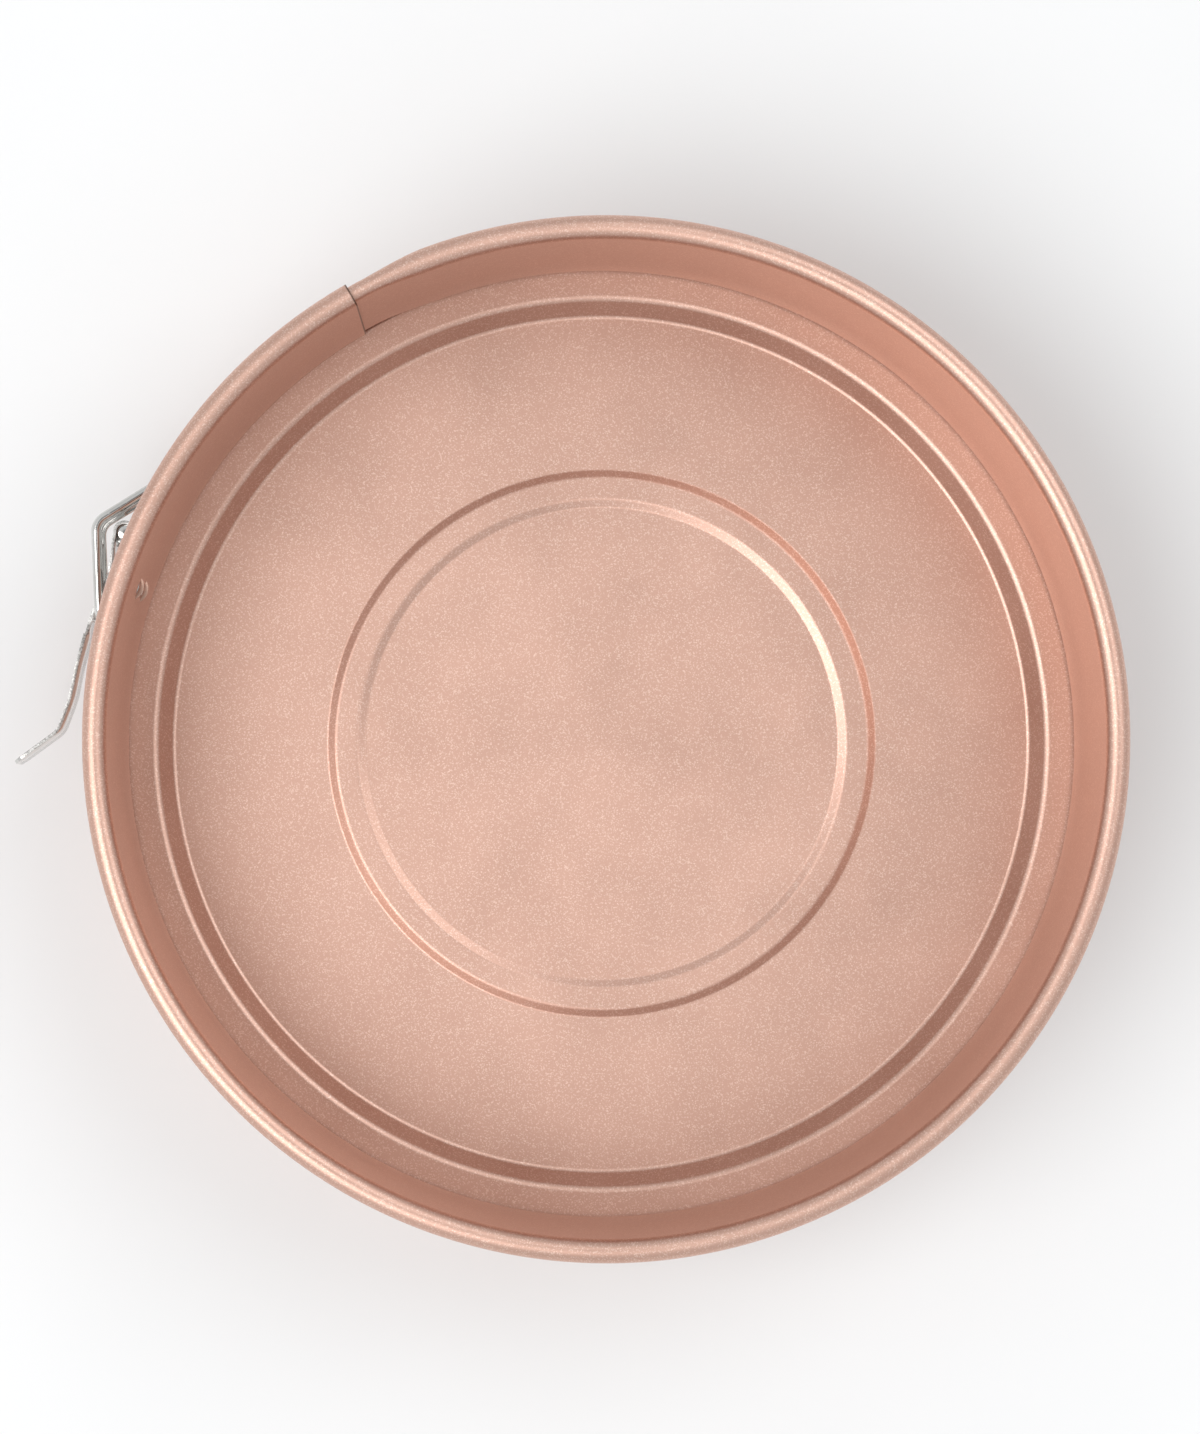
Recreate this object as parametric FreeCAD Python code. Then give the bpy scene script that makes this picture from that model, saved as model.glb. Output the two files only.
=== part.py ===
"""Springform baking pan: sprung side band, over-centre toggle latch and lift-out base plate.

Millimetres, +Z up. The origin is the centre of the base plate's flat underside, and the latch
lever's pivot lies on the -X side. Angles are in degrees, counter-clockwise seen from above.
"""
import FreeCAD, Part
import math
import os

VECTOR = FreeCAD.Vector
UP = VECTOR(0, 0, 1)
CENTRE = VECTOR(0, 0, 0)

# Side band: one strip of sprung sheet, rolled at the rim and grooved at the foot.
inner_radius = 114.3
band_height = 70.0
band_sheet = 0.6
foot_clearance = 0.4
rim_bead_radius = 2.8
rim_roll_angle = 280.0
groove_centre_height = 4.0
groove_reach = 2.0
groove_radius = 1.8
tightest_shoulder_radius = 0.15

# The two ends of the strip lap: the keeper end lies outside the latch end.
lap_gap = 0.25
lap_inner_end = 143.3
lap_outer_end = 174.0
joggle_length = 8.0
joggle_margin = 1.6
joggle_steps = 5

# The strip bends as five stiff arcs, with a narrow slit at each bending line.
arc_count = 5
slit_width = 0.35

# Base plate: dropped centre panel, raised flange with a hem that sits in the groove.
base_sheet = 0.8
panel_radius = 104.0
panel_rise_run = 4.0
flange_reach = 1.5
hem_gap = 0.1
hem_length = 5.0
base_bend_radius = 2.0
stiffening_ring_radius = 62.0
stiffening_ring_width = 5.0
stiffening_ring_height = 0.8
stiffening_ring_slope = 2.0

# Latch: shared sizes.
latch_height = 40.0
latch_sheet = 0.8
pivot_angle = 180.0
pivot_standoff = 7.0
running_clearance = 0.05
side_clearance = 0.3

# Pivot pin, knuckles and lever.
pin_radius = 1.85
pin_length = 15.0
knuckle_half_height = 3.4
lever_height = 17.0
lever_curl_angle = 297.0
lever_bends = [(9.0, 6.6, 12.0), (20.0, 6.7, 30.0), (32.5, 4.9, 40.0), (40.5, 3.2, 30.0), (48.5, 2.8, 5.0)]
lever_tip = (59.3, 9.1)
lever_tip_corner = 3.0
wire_notch_start = 9.3
wire_notch_end = 25.3
ear_top = 5.2
ear_half_width = 2.4
ear_overhang = 0.9

# Wire bail.
wire_radius = 1.15
bail_pivot_along = 19.6
wire_strip_clearance = 0.15
bail_kink = (0.5, 14.2)
cross_bar_angle = 171.5
cross_bar_clearance = 0.2
bail_kink_radius = 4.0
bail_corner_radius = 2.2
wire_hole_clearance = 0.1
wire_ear_gap = 0.25
wire_end_length = 1.2

# Plates on the band: the bracket is riveted, and the keeper is spot-welded flush.
rivet_radius = 1.5
rivet_head_radius = 2.6
rivet_head_height = 1.1
bracket_start = 175.4
bracket_end = 188.4
bracket_half_height = 10.5
bracket_rivet_angle = 185.4
bracket_rivet_rise = 6.5
bracket_bend_radius = 1.0
keeper_start = 160.0
keeper_half_height = 9.0
weld_angles = (162.0, 166.5)
weld_rise = 5.0
weld_radius = 2.0
weld_depth = 0.25
catch_clearance = 0.6
catch_lead = 0.1
catch_half_height = 4.0

outer_wall_radius = inner_radius + band_sheet
lap_offset = band_sheet + lap_gap
groove_shoulder_radius = lap_offset + band_sheet + tightest_shoulder_radius
arc_span = (360.0 + lap_outer_end - lap_inner_end) / arc_count
slit_half_angle = math.degrees(slit_width / 2 / inner_radius)
keeper_wall_radius = outer_wall_radius + lap_offset
ear_inner_height = ear_top - latch_sheet
leg_height = ear_top + wire_ear_gap + wire_radius
strip_standoff = lever_bends[1][1]
bail_pivot_standoff = strip_standoff - latch_sheet / 2 - wire_strip_clearance - wire_radius
bail_pivot = (bail_pivot_along, bail_pivot_standoff)
cross_bar_radius = keeper_wall_radius + latch_sheet + cross_bar_clearance + wire_radius


# ---------------------------------------------------------------- flat outlines

def polar(radius, angle):
    """Point in plan at a radius and an angle about the pan's axis."""
    turn = math.radians(angle)
    return VECTOR(radius * math.cos(turn), radius * math.sin(turn), 0)


def latch_point(along, standoff):
    """Point in plan beside the pivot: along the wall's tangent, and out from its tangent plane."""
    outward = polar(1, pivot_angle)
    tangent = polar(1, pivot_angle + 90)
    return outward * (outer_wall_radius + standoff) + tangent * along


def line_piece(start, end):
    return {"kind": "line", "start": start, "end": end}


def arc_piece(centre, radius, first, sweep):
    """Arc from the angle `first`, through `sweep` degrees: positive turns left."""
    return {"kind": "arc", "centre": centre, "radius": radius, "first": first, "sweep": sweep}


def heading(piece):
    """Direction in which a line piece runs."""
    return (piece["end"] - piece["start"]).normalize()


def offset_edge(piece, left):
    """The piece's parallel edge, `left` mm to its left."""
    if piece["kind"] == "line":
        ahead = heading(piece)
        shift = VECTOR(-ahead.y, ahead.x, 0) * left
        return Part.LineSegment(piece["start"] + shift, piece["end"] + shift).toShape()
    turn = 1 if piece["sweep"] > 0 else -1
    radius = piece["radius"] - turn * left
    angles = [piece["first"] + piece["sweep"] * share for share in (0, 0.5, 1)]
    points = [piece["centre"] + polar(radius, angle) for angle in angles]
    return Part.Arc(*points).toShape()


def ribbon_face(pieces, left, right):
    """Flat face of sheet thickness between the two parallels of a tangent run of pieces."""
    left_edges = [offset_edge(piece, left) for piece in pieces]
    right_edges = [offset_edge(piece, -right) for piece in pieces]
    left_wire = Part.Wire(left_edges)
    right_wire = Part.Wire(right_edges)
    start_cap = Part.LineSegment(route_end(left_wire, 0), route_end(right_wire, 0)).toShape()
    end_cap = Part.LineSegment(route_end(left_wire, -1), route_end(right_wire, -1)).toShape()
    outline = Part.Wire(Part.__sortEdges__(left_edges + right_edges + [start_cap, end_cap]))
    return Part.Face(outline)


def route_end(wire, index):
    """First (0) or last (-1) point of an open wire, in its own order."""
    return wire.OrderedVertexes[index].Point


def rounded_route(points, radii):
    """Straight runs through the points, with a tangent arc of the given radius at each inner one."""
    pieces = []
    here = points[0]
    for before, corner, after, radius in zip(points, points[1:], points[2:], radii):
        ahead = (corner - before).normalize()
        beyond = (after - corner).normalize()
        turn = math.degrees(math.atan2(ahead.cross(beyond).z, ahead.dot(beyond)))
        setback = radius * math.tan(math.radians(abs(turn)) / 2)
        side = 1 if turn > 0 else -1
        normal = VECTOR(-ahead.y, ahead.x, 0) * side
        start = corner - ahead * setback
        centre = start + normal * radius
        first = math.degrees(math.atan2(-normal.y, -normal.x))
        pieces.append(line_piece(here, start))
        pieces.append(arc_piece(centre, radius, first, turn))
        here = corner + beyond * setback
    pieces.append(line_piece(here, points[-1]))
    return pieces


def upright(face):
    """Turn a face drawn as (radius, height) in plan up into the XZ plane."""
    standing = face.copy()
    standing.rotate(CENTRE, VECTOR(1, 0, 0), 90)
    return standing


def ring_part(face, first, last):
    """Revolve a (radius, height) face about the pan's axis between two angles."""
    section = upright(face)
    section.rotate(CENTRE, UP, first)
    return section.revolve(CENTRE, UP, last - first)


def curved_plate(radius, thickness, first, last, half_height):
    """Plate that hugs the wall, centred on the latch's height."""
    low = latch_height - half_height
    corners = [VECTOR(radius, low, 0), VECTOR(radius + thickness, low, 0),
               VECTOR(radius + thickness, low + 2 * half_height, 0), VECTOR(radius, low + 2 * half_height, 0)]
    outline = Part.makePolygon(corners + corners[:1])
    return ring_part(Part.Face(outline), first, last)


# ---------------------------------------------------------------- side band

def band_pieces(offset):
    """The strip's inside surface from the rim's roll to the foot, moved outward by `offset`."""
    bead_centre = VECTOR(inner_radius + rim_bead_radius, band_height - rim_bead_radius, 0)
    groove_inset = groove_reach - groove_radius
    shoulder_x = inner_radius + groove_shoulder_radius
    shoulder_run = groove_shoulder_radius - groove_inset
    shoulder_rise = math.sqrt((groove_shoulder_radius + groove_radius) ** 2 - shoulder_run ** 2)
    lean = math.degrees(math.atan2(shoulder_rise, shoulder_run))
    upper = VECTOR(shoulder_x, groove_centre_height + shoulder_rise, 0)
    lower = VECTOR(shoulder_x, groove_centre_height - shoulder_rise, 0)
    middle = VECTOR(inner_radius + groove_inset, groove_centre_height, 0)
    shoulder = groove_shoulder_radius - offset
    wall_x = inner_radius + offset
    return [
        arc_piece(bead_centre, rim_bead_radius - offset, 180 - rim_roll_angle, rim_roll_angle),
        line_piece(VECTOR(wall_x, bead_centre.y, 0), VECTOR(wall_x, upper.y, 0)),
        arc_piece(upper, shoulder, 180, lean),
        arc_piece(middle, groove_radius + offset, lean, -2 * lean),
        arc_piece(lower, shoulder, 180 - lean, lean),
        line_piece(VECTOR(wall_x, lower.y, 0), VECTOR(wall_x, foot_clearance, 0)),
    ]


def band_face(offset):
    """Section of the strip: sheet thickness outward from its inside surface."""
    return ribbon_face(band_pieces(offset), band_sheet, 0)


def band_arc(first, last, offset):
    return ring_part(band_face(offset), first, last)


def band_joggle(first, last):
    """Short stretch where the strip steps outward by the lap's offset."""
    sections = []
    for step in range(joggle_steps + 1):
        share = step / joggle_steps
        eased = share * share * (3 - 2 * share)
        section = upright(band_face(lap_offset * eased))
        section.rotate(CENTRE, UP, first + (last - first) * share)
        sections.append(section.OuterWire)
    return Part.makeLoft(sections, True, True)


def arc_limits(index):
    """Start and end angle of one of the strip's arcs, with half a slit left at each bending line."""
    first = lap_inner_end + index * arc_span
    last = first + arc_span
    if index > 0:
        first += slit_half_angle
    if index < arc_count - 1:
        last -= slit_half_angle
    return first, last


def plain_band_arc(index):
    first, last = arc_limits(index)
    return band_arc(first, last, 0)


def band_latch_end():
    """The strip's inner end, drilled for the bracket's rivets."""
    return plain_band_arc(0).cut(rivet_holes())


def band_keeper_end():
    """The strip's outer end, which steps outward over the latch end."""
    first, last = arc_limits(arc_count - 1)
    joggle_last = 360 + lap_inner_end - joggle_margin
    joggle_first = joggle_last - joggle_length
    near = band_arc(first, joggle_first, 0)
    step = band_joggle(joggle_first, joggle_last)
    far = band_arc(joggle_last, last, lap_offset)
    return near.fuse([step, far])


# ---------------------------------------------------------------- rivets

def radial_bar(radius, inner, outer, angle, height):
    """Round bar along a radius of the pan."""
    bar = Part.makeCylinder(radius, outer - inner, VECTOR(inner, 0, height), VECTOR(1, 0, 0))
    bar.rotate(CENTRE, UP, angle)
    return bar


def rivet_heights():
    return latch_height - bracket_rivet_rise, latch_height + bracket_rivet_rise


def rivet_holes():
    """Cutters through wall and bracket for the two rivets, one above the other."""
    inner = inner_radius - rivet_head_radius
    outer = outer_wall_radius + latch_sheet + rivet_head_radius
    bars = [radial_bar(rivet_radius, inner, outer, bracket_rivet_angle, height) for height in rivet_heights()]
    return Part.makeCompound(bars)


def rivet_head(seat, direction, height):
    """Low domed head that rests on the round surface of radius `seat`."""
    dome_radius = (rivet_head_radius ** 2 + rivet_head_height ** 2) / (2 * rivet_head_height)
    centre = seat - direction * (dome_radius - rivet_head_height)
    ball = Part.makeSphere(dome_radius, VECTOR(centre, 0, height))
    blank = Part.makeCylinder(rivet_head_radius, 2 * dome_radius, VECTOR(seat, 0, height), VECTOR(direction, 0, 0))
    blank = blank.fuse(Part.makeCylinder(rivet_head_radius, band_sheet, VECTOR(seat, 0, height),
                                         VECTOR(-direction, 0, 0)))
    head = ball.common(blank)
    head.rotate(CENTRE, UP, bracket_rivet_angle)
    drum = Part.makeCylinder(seat, band_height)
    return head.cut(drum) if direction > 0 else head.common(drum)


def rivet(height):
    """One set rivet: shank through wall and plate, with a head on each side."""
    outer_seat = outer_wall_radius + latch_sheet
    sink = rivet_head_height / 2
    shank = radial_bar(rivet_radius, inner_radius - sink, outer_seat + sink, bracket_rivet_angle, height)
    outside = rivet_head(outer_seat, 1, height)
    inside = rivet_head(inner_radius, -1, height)
    return shank.fuse([outside, inside]).removeSplitter()


def bracket_rivets():
    return Part.makeCompound([rivet(height) for height in rivet_heights()])


# ---------------------------------------------------------------- base plate

def base_plate():
    """Panel, stiffening ring, rising step and flange with its edge hemmed under."""
    panel = base_sheet / 2
    hem_turn_radius = (base_sheet + hem_gap) / 2
    flange = groove_centre_height + hem_turn_radius
    ring_top = panel + stiffening_ring_height
    ring_inner = stiffening_ring_radius - stiffening_ring_width / 2
    ring_outer = stiffening_ring_radius + stiffening_ring_width / 2
    hem_x = inner_radius + flange_reach - hem_turn_radius - base_sheet / 2
    points = [
        VECTOR(0, panel, 0),
        VECTOR(ring_inner - stiffening_ring_slope, panel, 0),
        VECTOR(ring_inner, ring_top, 0),
        VECTOR(ring_outer, ring_top, 0),
        VECTOR(ring_outer + stiffening_ring_slope, panel, 0),
        VECTOR(panel_radius, panel, 0),
        VECTOR(panel_radius + panel_rise_run, flange, 0),
        VECTOR(hem_x, flange, 0),
    ]
    route = rounded_route(points, [base_bend_radius] * (len(points) - 2))
    hem_centre = VECTOR(hem_x, flange - hem_turn_radius, 0)
    route.append(arc_piece(hem_centre, hem_turn_radius, 90, -180))
    fold = hem_centre - VECTOR(0, hem_turn_radius, 0)
    route.append(line_piece(fold, fold - VECTOR(hem_length, 0, 0)))
    return ring_part(ribbon_face(route, base_sheet / 2, base_sheet / 2), 0, 360)


# ---------------------------------------------------------------- latch

def standing_prism(face, low, high):
    """Extrude a plan face between two heights measured from the latch's centre."""
    lifted = face.copy()
    lifted.translate(VECTOR(0, 0, latch_height + low))
    return lifted.extrude(VECTOR(0, 0, high - low))


def upright_cylinder(point, radius, low, high):
    """Cylinder on a plan point, between two heights from the latch's centre."""
    return Part.makeCylinder(radius, high - low, VECTOR(point.x, point.y, latch_height + low), UP)


def lever_bracket():
    """Riveted plate with a centre tongue that stands off the wall and rolls round the pin."""
    plate = curved_plate(outer_wall_radius, latch_sheet, bracket_start, bracket_end, bracket_half_height)
    roll_radius = pin_radius + latch_sheet / 2
    foot = latch_point(-roll_radius, latch_sheet / 2)
    shoulder = latch_point(-roll_radius, pivot_standoff)
    tail = latch_point(-roll_radius + 3 * bracket_bend_radius, latch_sheet / 2)
    route = rounded_route([tail, foot, shoulder], [bracket_bend_radius])
    first = pivot_angle - 90
    route.append(arc_piece(latch_point(0, pivot_standoff), roll_radius, first, 240))
    tongue = standing_prism(ribbon_face(route, latch_sheet / 2, latch_sheet / 2),
                            -knuckle_half_height, knuckle_half_height)
    inside_wall = Part.makeCylinder(outer_wall_radius, band_height)
    whole = plate.fuse(tongue).cut(inside_wall)
    return whole.cut(rivet_holes()).removeSplitter()


def pivot_pin():
    pivot = latch_point(0, pivot_standoff)
    return upright_cylinder(pivot, pin_radius, -pin_length / 2, pin_length / 2)


def lever_route():
    """Centre line of the lever's sheet in plan: curl, strip beside the wire and handle."""
    curl_radius = pin_radius + running_clearance + latch_sheet / 2
    pivot = latch_point(0, pivot_standoff)
    stations = [latch_point(along, standoff) for along, standoff, _ in lever_bends]
    radii = [radius for _, _, radius in lever_bends]
    reach = stations[0] - pivot
    reach_angle = math.degrees(math.atan2(reach.y, reach.x))
    opening = math.degrees(math.acos(curl_radius / reach.Length))
    leave_angle = reach_angle - opening
    leave = pivot + polar(curl_radius, leave_angle)
    curl = arc_piece(pivot, curl_radius, leave_angle - lever_curl_angle, lever_curl_angle)
    handle = rounded_route([leave] + stations + [latch_point(*lever_tip)], radii)
    return [curl] + handle


def lever_cutters():
    """Window for the bracket's knuckle, and the notches that let the wire through the strip."""
    half = lever_height / 2
    window_reach = pin_radius + 2 * latch_sheet + side_clearance
    window = upright_cylinder(latch_point(0, pivot_standoff), window_reach,
                              -knuckle_half_height - side_clearance, knuckle_half_height + side_clearance)
    cutters = [window]
    depth = pivot_standoff + window_reach
    for low in (ear_top, -half - latch_sheet):
        high = low + half - ear_top + latch_sheet
        corners = [latch_point(wire_notch_start, 0), latch_point(wire_notch_end, 0),
                   latch_point(wire_notch_end, depth), latch_point(wire_notch_start, depth)]
        outline = Part.Face(Part.makePolygon(corners + corners[:1]))
        cutters.append(standing_prism(outline, low, high))
    return cutters


def lever_ear(low):
    """Tab folded in from a notch's edge, drilled for the wire's end."""
    along, standoff = bail_pivot
    inner = standoff - wire_radius - wire_hole_clearance - ear_overhang
    corners = [latch_point(along - ear_half_width, inner), latch_point(along + ear_half_width, inner),
               latch_point(along + ear_half_width, strip_standoff),
               latch_point(along - ear_half_width, strip_standoff)]
    tab = standing_prism(Part.Face(Part.makePolygon(corners + corners[:1])), low, low + latch_sheet)
    hole = upright_cylinder(latch_point(*bail_pivot), wire_radius + wire_hole_clearance,
                            low - latch_sheet, low + 2 * latch_sheet)
    return tab.cut(hole)


def latch_lever():
    """Over-centre lever: curled knuckles, wire notches with ears, and a flared finger tip."""
    half = lever_height / 2
    sheet = ribbon_face(lever_route(), latch_sheet / 2, latch_sheet / 2)
    lever = standing_prism(sheet, -half, half).cut(lever_cutters())
    lever = lever.fuse([lever_ear(ear_inner_height), lever_ear(-ear_top)]).removeSplitter()
    return round_tip(lever)


def round_tip(lever):
    """Round the two corners at the lever's free end."""
    tip = latch_point(*lever_tip)
    edges = [edge for edge in lever.Edges
             if edge.Length < 1.5 * latch_sheet
             and (VECTOR(edge.CenterOfMass.x, edge.CenterOfMass.y, 0) - tip).Length < latch_sheet]
    return lever.makeFillet(lever_tip_corner, edges)


def bail_route():
    """Centre line of the wire: ends turned into the ears, legs kinked round the knuckle, cross bar."""
    pivot = latch_point(*bail_pivot)
    kink = latch_point(*bail_kink)
    hook = polar(cross_bar_radius, cross_bar_angle)
    end_height = ear_inner_height - wire_end_length
    plan = [(pivot, end_height), (pivot, leg_height), (kink, leg_height), (hook, leg_height),
            (hook, -leg_height), (kink, -leg_height), (pivot, -leg_height), (pivot, -end_height)]
    return [VECTOR(point.x, point.y, latch_height + height) for point, height in plan]


def wire_bail():
    """Round wire swept along straight runs and tangent bends."""
    points = bail_route()
    end_bend = wire_radius + wire_ear_gap
    radii = [end_bend, bail_kink_radius, bail_corner_radius, bail_corner_radius, bail_kink_radius, end_bend]
    edges = []
    here = points[0]
    for before, corner, after, radius in zip(points, points[1:], points[2:], radii):
        ahead = (corner - before).normalize()
        beyond = (after - corner).normalize()
        half_turn = ahead.getAngle(beyond) / 2
        setback = radius * math.tan(half_turn)
        start = corner - ahead * setback
        end = corner + beyond * setback
        inward = (beyond - ahead).normalize()
        crown = corner + inward * (radius / math.cos(half_turn) - radius)
        edges.append(Part.LineSegment(here, start).toShape())
        edges.append(Part.Arc(start, crown, end).toShape())
        here = end
    edges.append(Part.LineSegment(here, points[-1]).toShape())
    section = Part.Wire(Part.Circle(points[0], UP, wire_radius).toShape())
    return Part.Wire(edges).makePipeShell([section], True, True)


def weld_dimples():
    """Cutters for the shallow round marks that the spot welds leave in the keeper's face."""
    face_radius = keeper_wall_radius + latch_sheet
    return [radial_bar(weld_radius, face_radius - weld_depth, face_radius + weld_radius, angle, latch_height + rise)
            for angle in weld_angles for rise in (-weld_rise, weld_rise)]


def keeper():
    """Spot-welded plate whose catch stands up between the cross bar and the lever."""
    catch_angle = cross_bar_angle + math.degrees((wire_radius + catch_clearance) / cross_bar_radius)
    catch_end = catch_angle + math.degrees(latch_sheet / cross_bar_radius)
    plate = curved_plate(keeper_wall_radius, latch_sheet, keeper_start, catch_end, keeper_half_height)
    catch_rise = cross_bar_radius + catch_lead - keeper_wall_radius
    catch = curved_plate(keeper_wall_radius, catch_rise, catch_angle, catch_end, catch_half_height)
    return plate.fuse(catch).cut(weld_dimples()).removeSplitter()


# ---------------------------------------------------------------- output

def export_all():
    os.makedirs("parts", exist_ok=True)
    nodes = {
        "base_plate": base_plate(),
        "band_latch_end": band_latch_end(),
        "band_latch_side": plain_band_arc(1),
        "band_back": plain_band_arc(2),
        "band_keeper_side": plain_band_arc(3),
        "band_keeper_end": band_keeper_end(),
        "lever_bracket": lever_bracket(),
        "bracket_rivets": bracket_rivets(),
        "pivot_pin": pivot_pin(),
        "latch_lever": latch_lever(),
        "wire_bail": wire_bail(),
        "keeper": keeper(),
    }
    for name, shape in nodes.items():
        print(name, "valid", shape.isValid(), "solids", len(shape.Solids), "mm3", round(shape.Volume, 1))
        shape.exportStep("parts/" + name + ".step")


export_all()
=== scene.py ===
"""Springform pan: rose-gold band and base plate, bright latch. Metres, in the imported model's frame."""
import bmesh
import bpy
import math
from mathutils import Matrix, Vector


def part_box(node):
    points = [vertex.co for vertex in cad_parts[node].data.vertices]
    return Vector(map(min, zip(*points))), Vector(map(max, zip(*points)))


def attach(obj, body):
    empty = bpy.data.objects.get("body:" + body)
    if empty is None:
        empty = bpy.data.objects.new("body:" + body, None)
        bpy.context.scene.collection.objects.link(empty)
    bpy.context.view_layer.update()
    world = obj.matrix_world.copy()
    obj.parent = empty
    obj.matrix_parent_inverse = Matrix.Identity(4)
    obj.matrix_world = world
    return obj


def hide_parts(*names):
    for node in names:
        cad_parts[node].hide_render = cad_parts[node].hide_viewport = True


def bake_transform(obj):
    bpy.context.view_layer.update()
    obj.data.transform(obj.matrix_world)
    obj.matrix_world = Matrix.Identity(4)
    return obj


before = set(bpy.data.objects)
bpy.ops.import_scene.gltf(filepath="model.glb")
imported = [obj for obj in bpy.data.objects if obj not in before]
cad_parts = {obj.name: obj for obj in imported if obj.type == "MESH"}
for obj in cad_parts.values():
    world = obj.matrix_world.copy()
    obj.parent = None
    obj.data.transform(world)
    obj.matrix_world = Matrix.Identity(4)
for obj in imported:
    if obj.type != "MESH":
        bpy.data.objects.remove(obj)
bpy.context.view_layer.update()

MM = 0.001

# ---------------------------------------------------------------- sizes

# Side band, as the sheet is rolled: bead at the rim, groove and lip at the foot.
INNER_RADIUS = 114.3 * MM
BAND_SHEET = 0.6 * MM
BEAD_RADIUS = 2.8 * MM
BEAD_ROLL = 280.0
GROOVE_HEIGHT = 4.0 * MM
GROOVE_REACH = 2.0 * MM
GROOVE_RADIUS = 1.8 * MM
SHOULDER_RADIUS = 1.6 * MM
LAP_OFFSET = BAND_SHEET + 0.25 * MM
LAP_INNER_END = 143.3
LAP_OUTER_END = 174.0
JOGGLE_SPAN = 8.0
JOGGLE_MARGIN = 1.6
ARC_COUNT = 5
ARC_SPAN = (360.0 + LAP_OUTER_END - LAP_INNER_END) / ARC_COUNT
BAND_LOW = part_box("band_back")[0].z
BAND_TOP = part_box("band_back")[1].z
STEP_ANGLE = 0.6
BEAD_STEPS = 44
SHOULDER_STEPS = 8
GROOVE_STEPS = 16

# Base plate.
BASE_SHEET = 0.8 * MM
PANEL_RADIUS = 104.0 * MM
RISE_RUN = 4.0 * MM
FLANGE_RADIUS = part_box("base_plate")[1].x
HEM_GAP = 0.1 * MM
HEM_LENGTH = 5.0 * MM
BASE_BEND = 2.0 * MM
RING_RADIUS = 62.0 * MM
RING_WIDTH = 5.0 * MM
RING_HEIGHT = 0.8 * MM
RING_SLOPE = 2.0 * MM
SPIN_STEPS = 300
BASE_BEND_STEPS = 6
HEM_STEPS = 12

# Latch.
LATCH_HEIGHT = (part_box("latch_lever")[0].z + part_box("latch_lever")[1].z) / 2
WIRE_RADIUS = 1.15 * MM
WIRE_EDGES = 28
WIRE_BEND_STEPS = 14
WIRE_SMOOTH_ANGLE = 50
LEG_HEIGHT = 6.6 * MM
EAR_INNER = 4.4 * MM
WIRE_END = 1.2 * MM
END_BEND = 1.4 * MM
KINK_BEND = 4.0 * MM
CORNER_BEND = 2.2 * MM
BAIL_PIVOT = (19.6 * MM, 5.0 * MM)
BAIL_KINK = (0.5 * MM, 14.2 * MM)
CROSS_BAR_ANGLE = 171.5
CROSS_BAR_STANDOFF = 3.0 * MM
PIVOT_ANGLE = 180.0
EDGE_BREAK = 0.12 * MM
EDGE_BREAK_STEPS = 2
SHARP_ANGLE = 40
FLAT_ANGLE = 0.3
STAMPED_SMOOTH_ANGLE = 35
MERGE_DISTANCE = 0.001 * MM
# Width of the painted shade line along the latch run's cut end, standing for the shadow in the lap's gap.
LAP_SHADE_WIDTH = 0.45 * MM

# The floor lies a hair below the base, so that the two faces don't coincide.
FLOOR_GAP = 0.1 * MM
FLOOR_HALF_WIDTH = 3.0

# Finishes: tones, roughness and grain.
COATING_TONES = ((0.595, 0.368, 0.290, 1), (0.635, 0.400, 0.318, 1))
COATING_ROUGHNESS = (0.39, 0.45)
COATING_METALLIC = 0.95
CLEAR_COAT = {"Coat Weight": 0.12, "Coat Roughness": 0.2}
COATING_MARKS = {"Patch Scale": 30.0, "Scratch Scale": 700.0}
COATING_GRAIN = 1500.0
COATING_BUMP = {"Strength": 0.05, "Distance": 0.05 * MM}
FLAKE_TONE = (0.90, 0.71, 0.61, 1)
FLAKES_PER_METRE = 4000.0
FLAKE_AMOUNT = 0.55
# Painted shade: a dark tone along the strip's cut end, where the lap's gap lies in shadow.
LAP_SHADE_TONE = (0.045, 0.022, 0.015, 1)
LAP_SHADE_AMOUNT = 0.8
NICKEL_TONES = ((0.60, 0.585, 0.56, 1), (0.72, 0.71, 0.69, 1))
NICKEL_ROUGHNESS = (0.08, 0.16)
NICKEL_MARKS = {"Patch Scale": 160.0, "Scratch Scale": 5200.0}
NICKEL_BUMP = {"Strength": 0.15, "Distance": 0.02 * MM}
SCRATCH_ROUGHNESS = 0.15
TORN_TONE = (0.20, 0.19, 0.18, 1)
TORN_GRAIN = 2400.0
TORN_ROUGHNESS = 0.3
TORN_AMOUNT = 0.85
FLOOR_TONES = (0.78, 0.81)
FLOOR_ROUGHNESS = 0.9

# Daylight from one side, in the camera's own directions across and up, and shade right overhead.
WINDOW_SIDE = (-0.88, -0.48)
WINDOW_LIGHT = {"height": 1.7, "size": 1.5, "watts": 18.0}
FILL_SIDE = (0.95, 0.75)
FILL_LIGHT = {"height": 1.8, "size": 1.6, "watts": 11.0}
LIGHT_AIM_HEIGHT = 0.03
SKY_TONE = (0.965, 0.985, 1.0, 1)
SKY_DIM = 0.66
SKY_BRIGHT = 0.86
SKY_RISE = 0.35
OVERHEAD_SHADE = 0.3
OVERHEAD_FROM = 0.955
OVERHEAD_FULL = 0.99

# Camera: almost straight down, turned about the vertical.
CAMERA_TURN = 23.3
CAMERA_DISTANCE = 1.05
CAMERA_ASIDE = (-0.0205, -0.0205)
AIM_ASIDE = (-0.0017, 0.0047)
LENS = 115.6


# ---------------------------------------------------------------- outlines

def polar(radius, angle):
    turn = math.radians(angle)
    return Vector((radius * math.cos(turn), radius * math.sin(turn), 0))


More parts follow.
